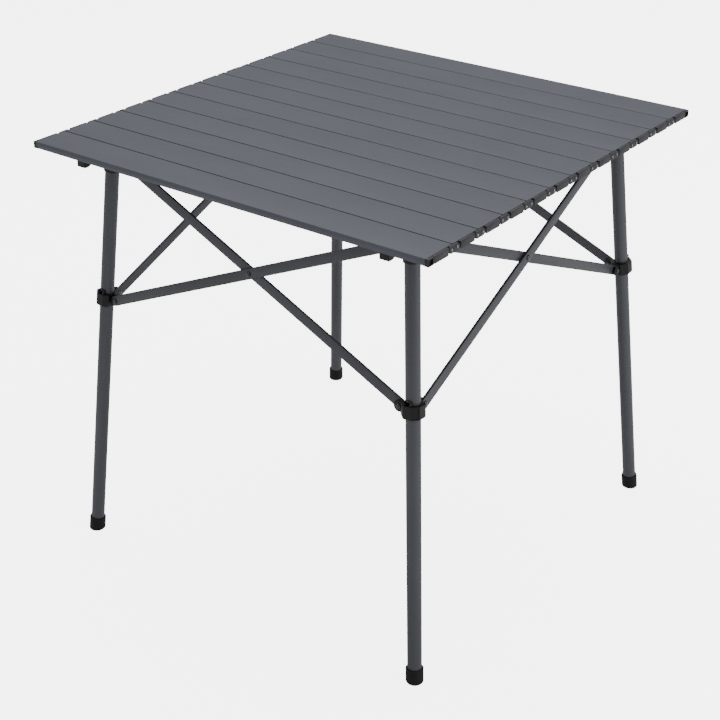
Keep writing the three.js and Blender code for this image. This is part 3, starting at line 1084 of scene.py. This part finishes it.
    def build_seam(self, number: int) -> None:
        """Builds both links of one seam, each a plate with two pins.

        Args:
            number: of the slat in front of the seam.
        """
        place = self.place_of(number + 0.5)
        body = f"links_{number:02d}"
        plate, pins = self.link_plate(), self.link_pins()
        for hand, turn in (("right", 0.0), ("left", math.pi)):
            node = f"link_{hand}_{number:02d}"
            spot = place @ spin(2, turn)
            self.shop.piece(f"{node}_plate", plate.placed(spot), PLUG_GREY, body, Slot.LINK, node)
            self.shop.piece(f"{node}_pins", pins.placed(spot), PIN_STEEL, body, Slot.LINK)

    def link_plate(self) -> Skin:
        """A link's plate at the +X end of a seam, with rounded ends and edges."""
        t, p = self.top, self.plug
        outline = stadium(-p.pin_from_seam, p.pin_from_seam, t.height / 2 - p.link_inset)
        plate = slab(outline, t.end + FIT.clearance, t.end + p.proud - p.dish_depth, p.edge)
        return self.turned_over(plate).placed(shift(z=-t.height / 2))

    def link_pins(self) -> Skin:
        """The two domed pin heads of a link."""
        t, p = self.top, self.plug
        face = t.end + p.proud - p.dish_depth - FIT.clearance / 3
        head = dome(p.pin_radius, p.pin_proud + p.dish_depth, FIT.clearance, face, 20)
        heads = [head.placed(shift(x=side * p.pin_from_seam)) for side in (-1, 1)]
        return self.turned_over(joined(heads)).placed(shift(z=-t.height / 2))


# The frame


@dataclass(frozen=True)
class Stance:
    """Where the legs and the side planes lie.

    A leg's frame stands on the ground under its tube, with Z up the tube, X in the plane of the front
    pair of legs and Y inward. The other corners are quarter turns of the front left one.
    """

    top: TopSizes = TOP
    leg: LegSizes = LEG
    fold: FoldSizes = FOLD

    @property
    def cap_x(self) -> float:
        """Distance of a cap from the middle."""
        return self.top.pitch * (self.top.slats / 2 - 1) - self.leg.cap_from_seam

    @property
    def foot_x(self) -> float:
        """Distance of a foot from the middle."""
        return self.cap_x + self.leg.foot_outside_cap

    @property
    def lean(self) -> float:
        """How far a leg leans inward over the lean height."""
        return self.leg.foot_outside_cap

    @property
    def lean_height(self) -> float:
        """The height over which the lean is taken."""
        return self.top.above_ground - self.leg.lean_top_below_table

    @property
    def cap_pivot(self) -> float:
        """Distance of the cap's pivots up the tube."""
        return self.top.above_ground - self.fold.cap_pivot_below_table

    @property
    def cap_radius(self) -> float:
        """Outer radius of a cap."""
        return self.leg.tube_radius + FIT.clearance + self.leg.cap_wall

    @property
    def pivot_x(self) -> float:
        """Distance of a pivot from its leg's axis."""
        return self.cap_radius + self.fold.bar_width / 2 + self.fold.bar_from_cap

    @property
    def ground(self) -> Array:
        """Where the front left tube's axis meets the ground."""
        return np.array([-self.foot_x, -self.foot_x, 0.0])

    @property
    def up(self) -> Array:
        """Direction of the front left tube."""
        return unit(self.lean, self.lean, self.lean_height)

    @property
    def front_outward(self) -> Array:
        """Direction out of the front plane."""
        return unit(0, -self.lean_height, self.lean)

    def leg_frame(self, corner: Corner) -> Array:
        """The placement of a leg's frame in the world."""
        out = self.front_outward
        front_left = basis(np.cross(self.up, out), -out, self.up, self.ground)
        return spin(2, corner.value * math.pi / 2) @ front_left

    def second_side(self) -> Array:
        """The frame of a leg's other side, in the leg's frame, with X towards the next leg."""
        outward = unit(-self.lean_height, 0, self.lean)
        inboard = np.cross(outward, self.up)
        side = basis(inboard, np.cross(self.up, inboard), self.up, self.ground)
        return np.linalg.inv(self.leg_frame(Corner.FRONT_LEFT)) @ side

    def side_frame(self, side: Side) -> Array:
        """The plane of a side: X along it, Y inward and Z up the slope."""
        slope = unit(0, self.lean, self.lean_height)
        front = basis(np.array([1, 0, 0]), -self.front_outward, slope, np.array([0, -self.foot_x, 0]))
        return spin(2, side.value * math.pi / 2) @ front

    def pivot(self, along: float) -> tuple[float, float]:
        """Half the spacing of two pivots, and their height up the slope.

        Args:
            along: distance of the pivots up their tubes.

        Returns:
            Half spacing and height.
        """
        lean = math.atan2(self.lean, math.hypot(self.lean, self.lean_height))
        half = self.foot_x - along * math.sin(lean) - self.pivot_x * math.cos(lean)
        return half, along * math.cos(lean) - self.pivot_x * math.sin(lean)

    def level_ring(self, radius: float, height: float, segments: int) -> Array:
        """A ring of the tube's cylinder cut by a level plane, in the leg's frame.

        A generator line at angle a lies at r cos a, r sin a, and meets the plane at
        (h - r cos a Xz - r sin a Yz) / Zz along the tube, with Xz, Yz and Zz the upward parts of the
        leg frame's axes.

        Args:
            radius: of the cylinder.
            height: of the plane over the ground.
            segments: points round the ring.

        Returns:
            The ring's points.
        """
        rises = self.leg_frame(Corner.FRONT_LEFT)[2, :3]
        ring = circles(np.array([[radius, 0.0]]), segments)[0]
        ring[:, 2] = (height - ring[:, 0] * rises[0] - ring[:, 1] * rises[1]) / rises[2]
        return ring


STANCE = Stance()


@dataclass(frozen=True)
class Ear:
    """A moulded lug beside the plane of the bars.

    Attributes:
        side: frame of the side, in the leg's frame.
        along: distance of its pivot up the tube.
        facing: which side of the bars' plane it lies on.
        relief: how much thinner it is on the bar's side.
    """

    side: Array
    along: float
    facing: Facing
    relief: float = 0.0

    @property
    def place(self) -> Array:
        """The lug's placement, with its thickness along Z and its pivot out along X."""
        return self.side @ shift(z=self.along) @ ALONG_Y @ spin(0, self.facing.value)

    def lug(self) -> Skin:
        """The lug in the leg's frame."""
        face = FIT.layer / 2 + FOLD.bar_thickness
        outline = tongue(LEG.tube_radius, STANCE.pivot_x, FOLD.ear_radius)
        return slab(outline, FIT.layer / 2 + self.relief, face, FOLD.ear_edge).placed(self.place)

    def head(self) -> Skin:
        """The rivet head on the lug's far face."""
        base = FIT.layer / 2 + FOLD.bar_thickness - FOLD.head_rim
        head = dome(FOLD.small_head_radius, FOLD.head_proud + FOLD.head_rim, 2 * FOLD.head_rim, base)
        return head.placed(self.place @ shift(x=STANCE.pivot_x))


@dataclass(frozen=True)
class LegSet:
    """One leg: tube with its snap button, foot and cap."""

    shop: Workshop
    corner: Corner
    segments: int = 64

    @property
    def body(self) -> str:
        """The CAD body that all three ride on."""
        return f"leg_set_{self.corner.label}"

    @property
    def ears(self) -> list[Ear]:
        """The cap's two ears."""
        sides = (np.eye(4), STANCE.second_side())
        return [Ear(side, STANCE.cap_pivot, Facing.MINUS_Y) for side in sides]

    def build(self) -> None:
        """Builds the leg's pieces."""
        frame = STANCE.leg_frame(self.corner)
        label = self.corner.label
        tube, button = self.tube().placed(frame), self.button().placed(frame)
        self.shop.piece(f"leg_{label}_tube", tube, LEG_COAT, self.body, Slot.LEG, f"leg_{label}")
        self.shop.piece(f"leg_{label}_button", button, RIVET_BLACK, self.body, Slot.LEG)
        foot, node = self.foot().placed(frame), f"foot_{label}"
        self.shop.piece(f"{node}_cup", foot, FOOT_RUBBER, self.body, Slot.MOULDED, node, FOOT_SHARP)
        cap = self.cap().placed(frame)
        self.shop.piece(f"cap_{label}_moulding", cap, BLACK_MOULDING, self.body, Slot.MOULDED, f"cap_{label}")
        if self.corner is Corner.BACK_LEFT:
            head = self.ears[1].head().placed(frame)
            self.shop.piece(f"cap_{label}_rivet", head, RIVET_BLACK, self.body, Slot.MOULDED)

    def tube(self) -> Skin:
        """The round tube, its profile closed through the bore, with local X up the tube for the grain."""
        inner, outer = LEG.tube_radius - LEG.tube_wall, LEG.tube_radius
        low, high = LEG.foot_floor + FIT.clearance, STANCE.cap_pivot + LEG.cap_above_tube
        middle = (low + high) / 2
        profile = [[inner, low], [outer, low], [outer, middle], [outer, high], [inner, high], [inner, middle]]
        skin = turned(np.array(profile), self.segments, is_tube=True)
        return Skin(skin.points, skin.faces, skin.points[:, [2, 0, 1]])

    def button(self) -> Skin:
        """The snap button: a domed peg through the tube's wall."""
        stem = LEG.tube_radius - LEG.tube_wall / 2
        proud = FOLD.button_proud + LEG.tube_wall / 2
        peg = dome(FOLD.button_radius, proud, proud / 2, stem)
        height = FOLD.collar_pivot + FOLD.button_above
        return peg.placed(spin(2, self.corner.button_turn) @ shift(z=height) @ spin(0, math.pi / 2))

    def foot(self) -> Skin:
        """The rubber cup: a level sole, a rounded edge, two shallow grooves, and a bore for the tube."""
        outer = LEG.tube_radius + FIT.clearance + LEG.foot_wall
        bore = LEG.tube_radius + FIT.clearance / 2
        edge, top = LEG.foot_edge, LEG.foot_height
        angle = np.linspace(0, math.pi / 2, 6)
        radii = outer - edge + edge * np.sin(angle)
        heights = edge - edge * np.cos(angle)
        sole = [STANCE.level_ring(r, h, self.segments) for r, h in zip(radii, heights)]
        lip, groove = LEG.foot_lip, LEG.foot_groove
        depths = (0, groove, groove, 0)
        wall = [[outer - depth, top * share] for depth, share in zip(depths, LEG.foot_groove_shares)]
        wall += [
            [outer, top - lip],
            [outer - lip * LEG.foot_lip_share, top - lip * LEG.foot_lip_share],
            [outer - lip, top],
            [bore, top],
            [bore, LEG.foot_floor],
        ]
        rings = np.concatenate([np.array(sole), circles(np.array(wall), self.segments)])
        return lofted(rings)

    def cap(self) -> Skin:
        """The cap: a skirt round the tube's top, a level seat under the slats, and two ears."""
        bore, outer = LEG.tube_radius + FIT.clearance / 2, STANCE.cap_radius
        low = STANCE.cap_pivot - LEG.cap_skirt
        ceiling = STANCE.cap_pivot + LEG.cap_above_tube + FIT.clearance
        edge = LEG.cap_edge
        wall = [
            [bore, ceiling],
            [bore, low + edge / 2],
            [bore + edge / 3, low],
            [outer - edge, low],
            [outer - edge / 3, low + edge / 3],
            [outer, low + edge],
        ]
        depths = (0, edge / 2, edge / 2, 0)
        wall += [[outer - depth, low + edge * share] for depth, share in zip(depths, LEG.cap_bead_shares)]
        seat = TOP.above_ground - TOP.height - FIT.clearance
        steps = [(outer, seat - edge), (outer - edge / 3, seat - edge / 3), (outer - edge, seat)]
        crown = [STANCE.level_ring(r, h, self.segments) for r, h in steps]
        shell = lofted(np.concatenate([circles(np.array(wall), self.segments), np.array(crown)]))
        return joined([shell, *(ear.lug() for ear in self.ears)])


@dataclass(frozen=True)
class Collar:
    """The sliding collar: an eight-sided body with two ears and a forked tab."""

    shop: Workshop
    corner: Corner
    points_round: int = 224

    def build(self) -> None:
        """Builds the collar and its rivet heads."""
        frame = STANCE.leg_frame(self.corner)
        label, body = self.corner.label, f"collar_{self.corner.label}"
        relief = FOLD.free_ear_relief if self.corner is Corner.BACK_LEFT else 0.0
        ears = [
            Ear(np.eye(4), FOLD.collar_pivot, Facing.PLUS_Y),
            Ear(STANCE.second_side(), FOLD.collar_pivot, Facing.PLUS_Y, relief),
        ]
        moulding = joined([self.barrel(relief), self.tab(), *(ear.lug() for ear in ears)]).placed(frame)
        name = f"collar_{label}_moulding"
        self.shop.piece(name, moulding, BLACK_MOULDING, body, Slot.MOULDED, f"collar_{label}", COLLAR_SHARP)
        heads = joined([ear.head() for ear in ears]).placed(frame)
        self.shop.piece(f"collar_{label}_rivets", heads, RIVET_BLACK, body, Slot.MOULDED)

    def plan(self, relief: float) -> Array:
        """The collar's outline from above: an octagon, cut back where the two bars' ends turn.

        Args:
            relief: how far the second cut runs past its bar's plane.

        Returns:
            Evenly spaced points, anticlockwise.
        """
        flat = LEG.tube_radius + FIT.slide + FOLD.collar_wall
        half = flat * math.tan(math.pi / 8)
        near = STANCE.pivot_x - FOLD.bar_width / 2 - FIT.layer
        cut = flat + half - near
        slant = FIT.layer
        soft, cut_soft, corner = FOLD.collar_corner_radius, FOLD.cut_radius, FOLD.cut_corner_radius
        corners = [
            (flat, slant, cut_soft),
            (flat, half, soft),
            (cut, near, cut_soft),
            (-relief, near, corner),
            (-relief - slant, flat, cut_soft),
            (-half, flat, soft),
            (-flat, half, soft),
            (-flat, -half, soft),
            (-half, -flat, soft),
            (half, -flat, soft),
            (near, -cut, cut_soft),
            (near, 0, corner),
        ]
        return evenly(softened(corners, 5), self.points_round)

    def barrel(self, relief: float) -> Skin:
        """The body: rings of the plan with chamfers, a shallow panel on the outer corner, and a bore.

        In the panel's rings, a point whose distance t across the outer diagonal is under half the
        panel's width moves in by the panel's depth.

        Args:
            relief: how far the second cut runs past its bar's plane.

        Returns:
            The body, closed through its bore.
        """
        plan = self.plan(relief)
        low, high = FOLD.collar_pivot - FOLD.collar_below, FOLD.collar_pivot + FOLD.collar_above
        chamfer, rim = FOLD.collar_chamfer, FOLD.panel_rim
        bore = LEG.tube_radius + FIT.slide
        outward = np.array([-1.0, -1.0]) / math.sqrt(2)
        across = plan @ np.array([1.0, -1.0]) / math.sqrt(2)
        is_panel = (np.abs(across) < FOLD.panel_width / 2) & (plan @ outward > 0)
        dented = plan - np.outer(is_panel * FOLD.panel_depth, outward)
        round_in = plan / np.linalg.norm(plan, axis=1)[:, None]
        rise = FOLD.panel_depth / 4
        blend = chamfer * FOLD.chamfer_share
        rim_drop, rim_blend, mouth, flare = (chamfer * share for share in FOLD.mouth_shares)
        stack = [
            (inset(plan, chamfer), low),
            (inset(plan, blend), low + chamfer - blend),
            (plan, low + chamfer * FOLD.chamfer_top_share),
            (plan, low + rim),
            (dented, low + rim + rise),
            (dented, high - rim - rise),
            (plan, high - rim),
            (plan, high - rim_drop),
            (inset(plan, rim_blend), high - blend),
            (inset(plan, mouth), high),
            (round_in * (bore + flare), high),
            (round_in * bore, high - flare),
            (round_in * bore, low + flare),
            (round_in * (bore + flare), low),
        ]
        return lofted(stacked(stack), is_tube=True)

    def tab(self) -> Skin:
        """The fork above the collar that the button snaps into.

        Its outline is a rectangle with a round-bottomed notch. Its back follows the bore,
        at y = -sqrt(R^2 - x^2).
        """
        half, notch = FOLD.tab_width / 2, FOLD.button_radius + FIT.clearance
        button = FOLD.collar_pivot + FOLD.button_above
        low, high = FOLD.collar_pivot + FOLD.collar_above - 1, button + FOLD.tab_above_button
        angle = np.linspace(0, -math.pi, 13)
        dip = np.stack([notch * np.cos(angle), button + notch * np.sin(angle)], axis=1)
        bottom = [(x, low, 0) for x in (-half, -notch, 0, notch, half)]
        top = [(half, high, FOLD.tab_corner_radius), (notch, high, FOLD.notch_corner_radius)]
        right = softened([*bottom, *top, (0, button, 0)], 4)
        left = right * np.array([-1.0, 1.0])
        outline = np.concatenate([right[:-1], dip, left[len(bottom):-1][::-1]])
        bore = LEG.tube_radius + FIT.slide
        front = -bore - FOLD.tab_thickness
        back = -np.sqrt(bore**2 - outline[:, 0] ** 2)
        edge = FOLD.tab_edge
        part = edge * FOLD.tab_edge_share
        walls = [(0, back), (0, front + edge), (part, front + part), (edge, front)]
        rings = np.empty((len(walls), len(outline), 3))
        for ring, (depth, y) in zip(rings, walls):
            ring[:, [0, 2]] = inset(outline, depth)
            ring[:, 1] = y
        return lofted(rings).placed(spin(2, self.corner.button_turn))


@dataclass(frozen=True)
class CrossedBars:
    """The two bars of one side, with their rivets."""

    shop: Workshop
    side: Side

    def build(self) -> None:
        """Builds the outer and the inner bar."""
        for layer, is_outer in (("outer", True), ("inner", False)):
            name = f"bar_{self.side.label}_{layer}"
            place = STANCE.side_frame(self.side) @ self.placement(is_outer)
            flat = self.flat().placed(place)
            self.shop.piece(f"{name}_flat", flat, BAR_COAT, name, Slot.BAR, name)
            is_free = is_outer and self.side is Side.BACK
            rivets = self.rivets(is_outer, is_free).placed(place)
            self.shop.piece(f"{name}_rivets", rivets, RIVET_BLACK, name, Slot.BAR)

    def ends(self) -> tuple[float, float, float, float]:
        """Half spacing and height of the upper pivots, then of the lower ones."""
        return *STANCE.pivot(STANCE.cap_pivot), *STANCE.pivot(FOLD.collar_pivot)

    @property
    def span(self) -> float:
        """Distance between a bar's end pivots."""
        upper, top, lower, bottom = self.ends()
        return math.hypot(upper + lower, top - bottom)

    @property
    def crossing(self) -> float:
        """Distance from the upper pivot to the crossing."""
        upper, _, lower, _ = self.ends()
        return self.span * upper / (upper + lower)

    def placement(self, is_outer: bool) -> Array:
        """Lays a bar from its upper pivot down to the collar of the other leg.

        Args:
            is_outer: whether it lies outside the plane, with its upper end at the right.

        Returns:
            Its placement in the side's frame.
        """
        upper, top, lower, bottom = self.ends()
        hand = 1.0 if is_outer else -1.0
        along = unit(-hand * (upper + lower), 0, bottom - top)
        out = np.array([0.0, -hand, 0.0])
        start = np.array([hand * upper, -hand * FIT.layer / 2, top])
        return basis(along, np.cross(out, along), out, start)

    def flat(self) -> Skin:
        """The bar: a plate with round ends and rounded edges."""
        outline = stadium(0, self.span, FOLD.bar_width / 2, 16)
        return slab(outline, 0, FOLD.bar_thickness, FOLD.bar_edge)

    def rivets(self, is_outer: bool, is_free: bool) -> Skin:
        """The heads on the bar's outer face, and those beyond the ear and the other bar.

        Args:
            is_outer: whether the bar carries the crossing rivet.
            is_free: whether its upper end has no shank.

        Returns:
            The heads in the bar's frame.
        """
        rim = FOLD.head_rim
        face = FOLD.bar_thickness - rim
        far = FIT.layer + FOLD.bar_thickness + FIT.clearance
        flip = spin(0, math.pi)
        big = dome(FOLD.end_head_radius, FOLD.head_proud + rim, 2 * rim, face)
        small = dome(FOLD.small_head_radius, FOLD.head_proud + rim, 2 * rim, face)
        behind = dome(FOLD.small_head_radius, FOLD.head_proud, rim, far)
        heads = [big, big.placed(shift(x=self.span))]
        if not is_free:
            heads.append(behind.placed(flip))
        if is_outer:
            heads.append(small.placed(shift(x=self.crossing)))
            heads.append(behind.placed(shift(x=self.crossing) @ flip))
        return joined(heads)


# Stage, lights and camera


@dataclass(frozen=True)
class Softbox:
    """A square soft light.

    Attributes:
        name: of the light.
        place: where it hangs.
        size: its side.
        power: in watts.
    """

    name: str
    place: tuple[float, float, float]
    size: float
    power: float


@dataclass(frozen=True)
class Studio:
    """A pale floor, soft lights and the photo's camera.

    Angles are in radians and lengths in metres. The camera was fitted to the photo.
    """

    azimuth: float = 0.64854
    elevation: float = 0.49036
    roll: float = -0.00194
    eye: tuple[float, float, float] = (1.32448, -1.77362, 1.47168)
    lens: float = 75.31
    sensor: float = 36.0
    floor_half: float = 12.0
    floor_tone: float = 0.86
    floor_roughness: float = 0.9
    floor_specular: float = 0.1
    floor_glow: float = 5.0
    sky: float = 0.5
    target: tuple[float, float, float] = (0.0, 0.0, 0.4)
    softboxes: tuple[Softbox, ...] = (
        Softbox("overhead", (-0.6, 1.0, 3.4), 3.0, 66.0),
        Softbox("right_fill", (3.4, 0.6, 1.6), 1.6, 50.0),
        Softbox("front_fill", (-1.8, -3.4, 1.8), 0.9, 12.0),
    )

    def build(self) -> None:
        """Builds the stage."""
        self.build_floor()
        self.build_lights()
        self.build_camera()

    def build_floor(self) -> None:
        """A flat pale floor, which isn't part of the object. Its glow is seen, but lights nothing."""
        half = self.floor_half
        corners = [(-half, -half, 0), (half, -half, 0), (half, half, 0), (-half, half, 0)]
        mesh = bpy.data.meshes.new("floor")
        mesh.from_pydata(corners, [], [(0, 1, 2, 3)])
        material = bpy.data.materials.new("floor_paper")
        material.use_nodes = True
        shader = material.node_tree.nodes["Principled BSDF"]
        shader.inputs["Base Color"].default_value = (self.floor_tone,) * 3 + (1,)
        shader.inputs["Roughness"].default_value = self.floor_roughness
        shader.inputs["Specular IOR Level"].default_value = self.floor_specular
        shader.inputs["Emission Color"].default_value = (1, 1, 1, 1)
        sheet = Sheet(material.node_tree)
        seen = sheet.add("ShaderNodeMath", operation="MULTIPLY")
        seen.inputs[1].default_value = self.floor_glow
        sheet.link(sheet.add("ShaderNodeLightPath").outputs["Is Camera Ray"], seen.inputs[0])
        sheet.link(seen.outputs[0], shader.inputs["Emission Strength"])
        mesh.materials.append(material)
        floor = bpy.data.objects.new("floor", mesh)
        bpy.context.scene.collection.objects.link(floor)

    def build_lights(self) -> None:
        """An even pale sky and three large soft lights."""
        world = bpy.data.worlds.new("studio")
        world.use_nodes = True
        back = world.node_tree.nodes["Background"]
        back.inputs["Color"].default_value = (1.0, 1.0, 1.0, 1)
        back.inputs["Strength"].default_value = self.sky
        bpy.context.scene.world = world
        for softbox in self.softboxes:
            self.build_light(softbox)

    def build_light(self, softbox: Softbox) -> None:
        """Adds one light that looks at the table's middle."""
        light = bpy.data.lights.new(softbox.name, "AREA")
        light.size = softbox.size
        light.energy = softbox.power
        made = bpy.data.objects.new(softbox.name, light)
        place = np.array(softbox.place)
        back = unit(*(place - np.array(self.target)))
        right = unit(*np.cross([0.0, 0.0, 1.0], back))
        made.matrix_world = Matrix(basis(right, np.cross(back, right), back, place).tolist())
        bpy.context.scene.collection.objects.link(made)

    def build_camera(self) -> None:
        """The camera, at the angle and distance of the photo."""
        az, el = self.azimuth, self.elevation
        back = np.array([math.sin(az) * math.cos(el), -math.cos(az) * math.cos(el), math.sin(el)])
        right = np.array([math.cos(az), math.sin(az), 0.0])
        up = np.cross(back, right)
        c, s = math.cos(self.roll), math.sin(self.roll)
        camera = bpy.data.cameras.new("camera")
        camera.lens, camera.sensor_width = self.lens, self.sensor
        made = bpy.data.objects.new("camera", camera)
        place = basis(c * right + s * up, c * up - s * right, back, np.array(self.eye))
        made.matrix_world = Matrix(place.tolist())
        bpy.context.scene.collection.objects.link(made)
        bpy.context.scene.camera = made


def main() -> None:
    """Loads the frame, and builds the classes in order."""
    logging.basicConfig(level=logging.INFO, format="%(name)s: %(message)s")
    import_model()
    Studio().build()
    shop = Workshop()
    Tabletop(shop).build()
    for corner in Corner:
        LegSet(shop, corner).build()
        Collar(shop, corner).build()
    for side in Side:
        CrossedBars(shop, side).build()
    LOG.info("%d pieces", shop.count)


if __name__ == "__main__":
    main()
